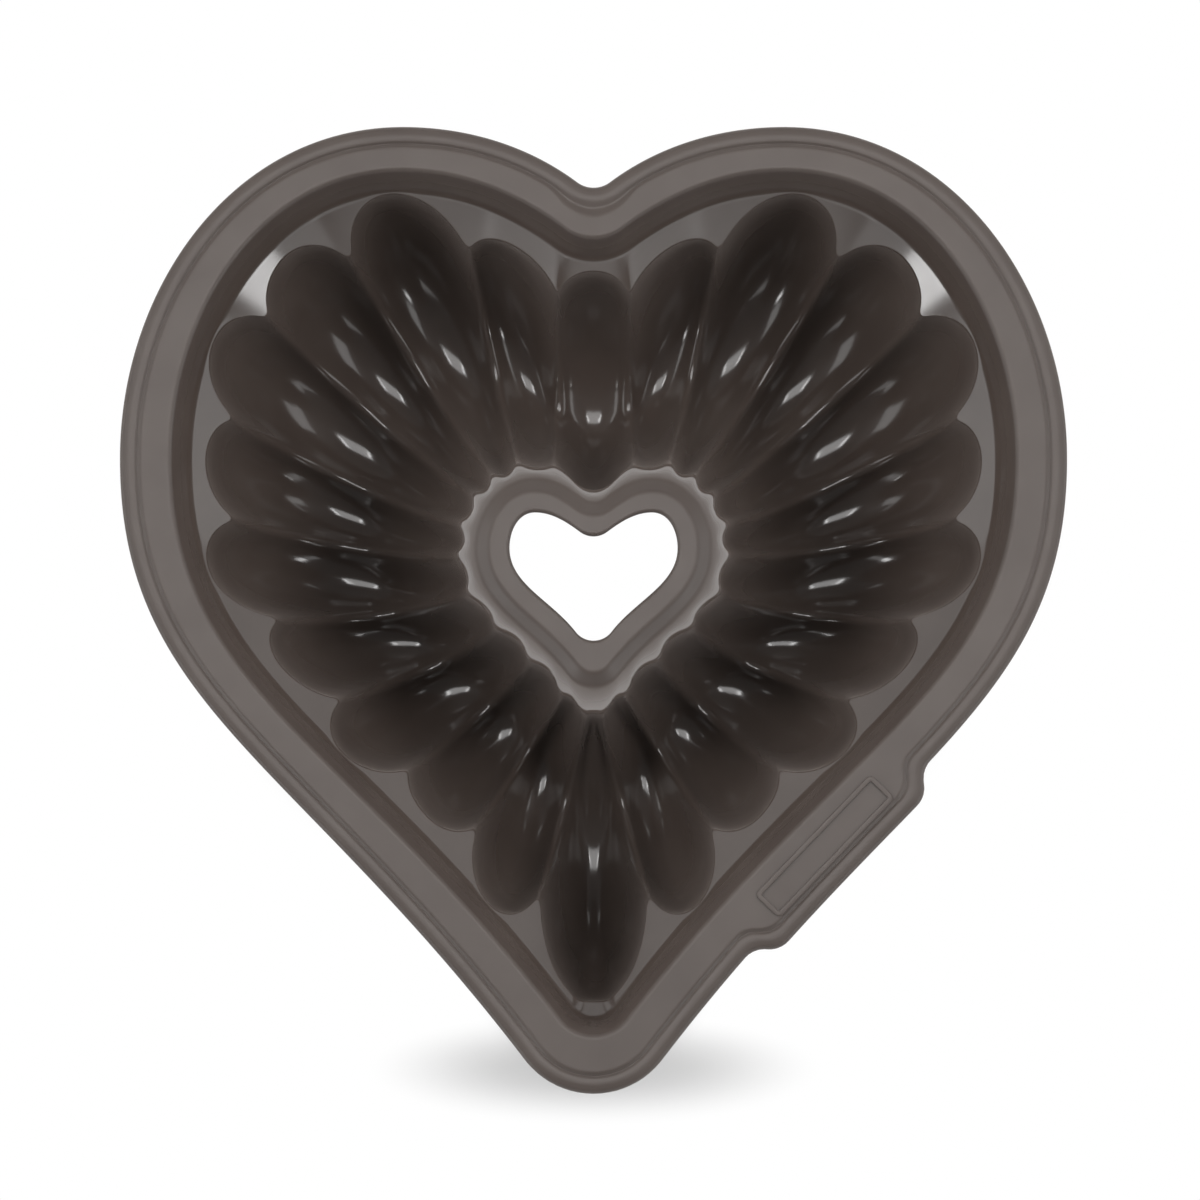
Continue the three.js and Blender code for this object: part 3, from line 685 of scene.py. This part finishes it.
def panel_frame(material):
    """Border carried along a rounded rectangle on the tab's flange; its section is a squarish ellipse.

    The ellipse's cosine and sine are raised to a power below 1, with their signs kept.
    """
    points, normals = stations_on(rim_heart, cavity_heart, np.array([TAB_SHARE]), np.array([1.0]))
    outward = normals[0]
    along = np.array([-outward[1], outward[0]])
    centre = points[0] + outward * (TAB_BULGE - PANEL_INSET - PANEL_WIDTH / 2 + BEAD_WIDTH)
    half = np.array([PANEL_LENGTH, PANEL_WIDTH]) / 2 - FRAME_WIDTH / 2
    turn = np.linspace(0, 2 * math.pi, PANEL_STEPS, endpoint=False)
    heading = np.column_stack([np.cos(turn), np.sin(turn)])
    heading[np.abs(heading) < TINY] = 0
    path = np.sign(heading) * (half - PANEL_CORNER) + heading * PANEL_CORNER
    path = centre + path[:, :1] * along + path[:, 1:] * outward
    heading = heading[:, :1] * along + heading[:, 1:] * outward

    def squarish(x):
        """The size raised to the frame's power, with its sign."""
        return np.sign(x) * np.abs(x) ** FRAME_SQUARENESS

    angles = np.linspace(0, 2 * math.pi, FRAME_SIDES, endpoint=False)
    across = FRAME_WIDTH / 2 * squarish(np.cos(angles))
    up = FLANGE_Z + FRAME_RISE * squarish(np.sin(angles))
    rows = [np.column_stack([path + heading * x, np.full(len(path), z)]) for x, z in zip(across, up)]
    piece = add_piece("panel_frame", loop_mesh("panel_frame", rows), material)


# Tones of the finishes, and the silicone's roughness on the flats and in the flutes
SILICONE_DARK = (0.0345, 0.0258, 0.0218)
SILICONE_LIGHT = (0.0415, 0.0320, 0.0273)
MATTE_ROUGHNESS = 0.45
POLISHED_ROUGHNESS = 0.14
ROUGHNESS_SWING = 0.03
POLISHED_GRAIN = 0.05
STEEL_DARK = (0.42, 0.42, 0.43)
STEEL_LIGHT = (0.62, 0.62, 0.63)


def link(tree, source, socket, target, name):
    """Joins one node's output to another's input."""
    tree.links.new(source.outputs[socket], target.inputs[name])


def math_node(tree, operation, first, second):
    """One clamped sum, product or other step on two outputs, each given as a node and its socket."""
    step = tree.nodes.new("ShaderNodeMath")
    step.operation = operation
    step.use_clamp = True
    link(tree, *first, step, 0)
    link(tree, *second, step, 1)
    return step


def new_material(name):
    """An empty finish: the material, its nodes and its shader."""
    material = bpy.data.materials.new(name)
    material.use_nodes = True
    tree = material.node_tree
    return material, tree, tree.nodes["Principled BSDF"]


def noise(tree, place, scale, detail):
    """Soft noise that sits still on the piece; a larger scale is finer."""
    node = tree.nodes.new("ShaderNodeTexNoise")
    node.inputs["Scale"].default_value = scale
    node.inputs["Detail"].default_value = detail
    link(tree, place, "Object", node, "Vector")
    return node


def spread(tree, source, low, high):
    """A value from 0 to 1 spread evenly from low to high."""
    node = tree.nodes.new("ShaderNodeMapRange")
    node.inputs["To Min"].default_value = low
    node.inputs["To Max"].default_value = high
    socket = "Fac" if "Fac" in source.outputs else 0
    link(tree, source, socket, node, "Value")
    return node


def two_tone(tree, source, dark, light, reach=(0, 1)):
    """A colour between two, by a noise's height between the two ends of its reach."""
    ramp = tree.nodes.new("ShaderNodeValToRGB")
    for end, colour, position in zip(ramp.color_ramp.elements, (dark, light), reach):
        end.color = (*colour, 1)
        end.position = position
    link(tree, source, "Fac", ramp, "Fac")
    return ramp


def dark_silicone():
    """Brown-black silicone: faint clouding, a fine matte grain on the flats, polished flutes.

    Roughness falls from matte to polished with the polish, plus noise, and the grain fades with it.
    """
    material, tree, shader = new_material("dark_silicone")
    place = tree.nodes.new("ShaderNodeTexCoord")
    polish = tree.nodes.new("ShaderNodeAttribute")
    polish.attribute_name = "polish"
    clouds = noise(tree, place, scale=55, detail=3)
    tint = two_tone(tree, clouds, SILICONE_DARK, SILICONE_LIGHT, reach=(0.3, 0.7))
    link(tree, tint, "Color", shader, "Base Color")
    gloss = spread(tree, polish, MATTE_ROUGHNESS, POLISHED_ROUGHNESS)
    streak = spread(tree, noise(tree, place, scale=160, detail=4), -ROUGHNESS_SWING, ROUGHNESS_SWING)
    rough = math_node(tree, "ADD", (gloss, 0), (streak, 0))
    link(tree, rough, 0, shader, "Roughness")
    grain = noise(tree, place, scale=2600, detail=2)
    matte = spread(tree, polish, 1, POLISHED_GRAIN)
    fine = math_node(tree, "MULTIPLY", (grain, "Fac"), (matte, 0))
    bump = tree.nodes.new("ShaderNodeBump")
    bump.inputs["Strength"].default_value = 0.12
    bump.inputs["Distance"].default_value = 0.0001
    link(tree, fine, 0, bump, "Height")
    link(tree, bump, "Normal", shader, "Normal")
    shader.inputs["IOR"].default_value = 1.5
    shader.inputs["Sheen Weight"].default_value = 0.08
    shader.inputs["Sheen Roughness"].default_value = 0.5
    shader.inputs["Sheen Tint"].default_value = (1, 0.88, 0.82, 1)
    return material


def drawn_steel():
    """Grey drawn wire with fine noise in its tone and roughness."""
    material, tree, shader = new_material("drawn_steel")
    place = tree.nodes.new("ShaderNodeTexCoord")
    streak = noise(tree, place, scale=900, detail=3)
    tint = two_tone(tree, streak, STEEL_DARK, STEEL_LIGHT)
    link(tree, tint, "Color", shader, "Base Color")
    rough = spread(tree, streak, low=0.25, high=0.45)
    link(tree, rough, 0, shader, "Roughness")
    shader.inputs["Metallic"].default_value = 1
    return material


# Studio: the camera looks down into the mouth as in the photograph
SENSOR_WIDTH = 36
PHOTO_SIDE = 1200
PIXEL = 0.263
AXIS_PIXEL = (593.5, 607)
CAMERA_DISTANCE = 1100
CAMERA_PITCH = math.radians(3.2)

# Name, place, width and height in metres, brightness
SOFTBOXES = [
    ("front_left", (-1.41, -0.95, 0.73), 0.45, 0.30, 14.5),
    ("front_right", (1.41, -0.95, 0.73), 0.45, 0.30, 13),
    ("front_mid_left", (-1.05, -1.34, 0.68), 0.50, 0.50, 1.8),
    ("front_mid_right", (1.05, -1.34, 0.68), 0.50, 0.50, 1.8),
    ("front_wall", (0, -1.7, 0.62), 2.00, 0.50, 1.6),
    ("back_left", (-1.36, 1.02, 0.47), 1.00, 0.50, 1.4),
    ("back_right", (1.36, 1.02, 0.47), 1.00, 0.50, 1.4),
    ("back_wall", (0, 1.7, 0.50), 2.20, 0.70, 1.2),
    ("left_wall", (-1.7, 0.0, 0.70), 1.30, 0.90, 2.2),
    ("right_wall", (1.7, 0.0, 0.70), 1.30, 0.90, 2.2),
]
# Lamps that the finish only mirrors
MIRRORED = [
    ("overhead", (0, 0.21, 2.0), 1.30, 0.72, 4.7),
    ("left_pane", (-0.60, 0.24, 2.0), 0.50, 0.12, 16),
    ("right_pane", (0.60, 0.24, 2.0), 0.50, 0.12, 14),
]
# Lamps that light the walls of the flutes and make no reflection
FILLS = [
    ("top_fill", (0, 0.20, 2.0), 1.40, 0.50, 1.2),
    ("left_fill", (-1.05, 0.22, 0.95), 1.00, 0.60, 9.5),
    ("right_fill", (1.05, 0.22, 0.95), 1.00, 0.60, 9.5),
    ("back_fill", (0, 1.15, 0.80), 1.20, 0.60, 4),
]
ROOM_LIGHT = 0.15

# Ellipses in which the floor keeps its shadow, and one that the hole shows, where it is plain again:
# the middle in y and the reach in x and y, in metres, and the share of the reach that is even
TIP_SHADOW_UP = 3
TIP_SHADOW = ((MOULD_LOW[1] + TIP_SHADOW_UP) * MM, (0.064, 0.016), 0.2)
FOOT_SHADOW = (0, (0.110, 0.085), 0.7)
NOSE_SHADOW = (-0.078, (0.038, 0.060), 0.5)
HOLE_SPOT = (0.012, (0.042, 0.038), 0.8)
FLOOR_REACH = 4.0
FLOOR_GREY = 0.40
FLOOR_ROUGHNESS = 0.9


def add_camera():
    """A camera over the flange, pitched a little, whose frame there is the photograph's side in pixels."""
    aim_x = (PHOTO_SIDE / 2 - AXIS_PIXEL[0]) * PIXEL
    aim_y = (AXIS_PIXEL[1] - PHOTO_SIDE / 2) * PIXEL
    data = bpy.data.cameras.new("camera")
    data.sensor_width = SENSOR_WIDTH
    data.lens = SENSOR_WIDTH * CAMERA_DISTANCE / (PHOTO_SIDE * PIXEL)
    camera = bpy.data.objects.new("camera", data)
    camera.rotation_euler = (CAMERA_PITCH, 0, 0)
    camera.location = (
        aim_x * MM,
        (aim_y - CAMERA_DISTANCE * math.sin(CAMERA_PITCH)) * MM,
        (FLANGE_Z + CAMERA_DISTANCE * math.cos(CAMERA_PITCH)) * MM,
    )
    bpy.context.scene.collection.objects.link(camera)
    bpy.context.scene.camera = camera


def outside_ellipse(tree, place, centre, reach, even_share):
    """0 over an ellipse's even share, rising by a smooth step to 1 at its edge and beyond."""
    from_centre = tree.nodes.new("ShaderNodeVectorMath")
    from_centre.operation = "SUBTRACT"
    from_centre.inputs[1].default_value = (0, centre, 0)
    link(tree, place, "Object", from_centre, 0)
    shrink = tree.nodes.new("ShaderNodeVectorMath")
    shrink.operation = "DIVIDE"
    shrink.inputs[1].default_value = (*reach, 1)
    link(tree, from_centre, "Vector", shrink, 0)
    away = tree.nodes.new("ShaderNodeVectorMath")
    away.operation = "LENGTH"
    link(tree, shrink, "Vector", away, 0)
    outside = tree.nodes.new("ShaderNodeMapRange")
    outside.interpolation_type = "SMOOTHSTEP"
    outside.inputs["From Min"].default_value = even_share
    link(tree, away, "Value", outside, "Value")
    return outside


def add_floor():
    """A wide floor, white to the camera away from the mould, with its shadow at the tip and the foot.

    The white is the product of what lies outside the shadows' ellipses, or what lies inside the hole's
    spot where that is more.
    """
    mesh = bpy.data.meshes.new("floor")
    corners = np.array([(-1, -1, 0), (1, -1, 0), (1, 1, 0), (-1, 1, 0)]) * FLOOR_REACH
    mesh.from_pydata(corners, [], [(0, 1, 2, 3)])
    material, tree, shader = new_material("white_floor")
    shader.inputs["Base Color"].default_value = (FLOOR_GREY, FLOOR_GREY, FLOOR_GREY, 1)
    shader.inputs["Roughness"].default_value = FLOOR_ROUGHNESS
    place = tree.nodes.new("ShaderNodeTexCoord")
    tip = outside_ellipse(tree, place, *TIP_SHADOW)
    foot = outside_ellipse(tree, place, *FOOT_SHADOW)
    nose = outside_ellipse(tree, place, *NOSE_SHADOW)
    middle = outside_ellipse(tree, place, *HOLE_SPOT)
    hole = tree.nodes.new("ShaderNodeMath")
    hole.operation = "SUBTRACT"
    hole.inputs[0].default_value = 1
    link(tree, middle, 0, hole, 1)
    ends = math_node(tree, "MULTIPLY", (tip, 0), (nose, 0))
    shaded = math_node(tree, "MULTIPLY", (ends, 0), (foot, 0))
    plain = math_node(tree, "MAXIMUM", (shaded, 0), (hole, 0))
    ray = tree.nodes.new("ShaderNodeLightPath")
    mirrored = math_node(tree, "ADD", (ray, "Is Glossy Ray"), (ray, "Is Transmission Ray"))
    looks = math_node(tree, "ADD", (ray, "Is Camera Ray"), (mirrored, 0))
    seen = math_node(tree, "MULTIPLY", (plain, 0), (looks, 0))
    white = tree.nodes.new("ShaderNodeEmission")
    mix = tree.nodes.new("ShaderNodeMixShader")
    link(tree, seen, 0, mix, 0)
    link(tree, shader, 0, mix, 1)
    link(tree, white, 0, mix, 2)
    link(tree, mix, 0, tree.nodes["Material Output"], "Surface")
    mesh.materials.append(material)
    floor = bpy.data.objects.new("floor", mesh)
    bpy.context.scene.collection.objects.link(floor)


def add_softbox(name, place, width, height, radiance):
    """A rectangular lamp that faces the mould; its power is its brightness times its area and pi."""
    data = bpy.data.lights.new(name, "AREA")
    data.shape = "RECTANGLE"
    data.size = width
    data.size_y = height
    data.energy = radiance * math.pi * width * height
    lamp = bpy.data.objects.new(name, data)
    lamp.location = place
    x, y, z = place
    lamp.rotation_euler = (math.atan2(math.hypot(x, y), z), 0, math.atan2(y, x) + math.pi / 2)
    bpy.context.scene.collection.objects.link(lamp)
    return lamp


def add_studio():
    """Camera, floor, lamps and an even white room."""
    add_camera()
    add_floor()
    for softbox in SOFTBOXES:
        add_softbox(*softbox)
    for lamp in MIRRORED:
        add_softbox(*lamp).visible_diffuse = False
    for fill in FILLS:
        add_softbox(*fill).visible_glossy = False
    world = bpy.data.worlds.new("studio")
    bpy.context.scene.world = world
    world.use_nodes = True
    room = world.node_tree.nodes["Background"]
    room.inputs["Color"].default_value = (1, 1, 1, 1)
    room.inputs["Strength"].default_value = ROOM_LIGHT
    bpy.context.scene.view_settings.view_transform = "Standard"


columns = make_columns()
silicone = dark_silicone()
silicone_moulding(columns, silicone)
panel_frame(silicone)
steel_hoop(columns, drawn_steel())
add_studio()
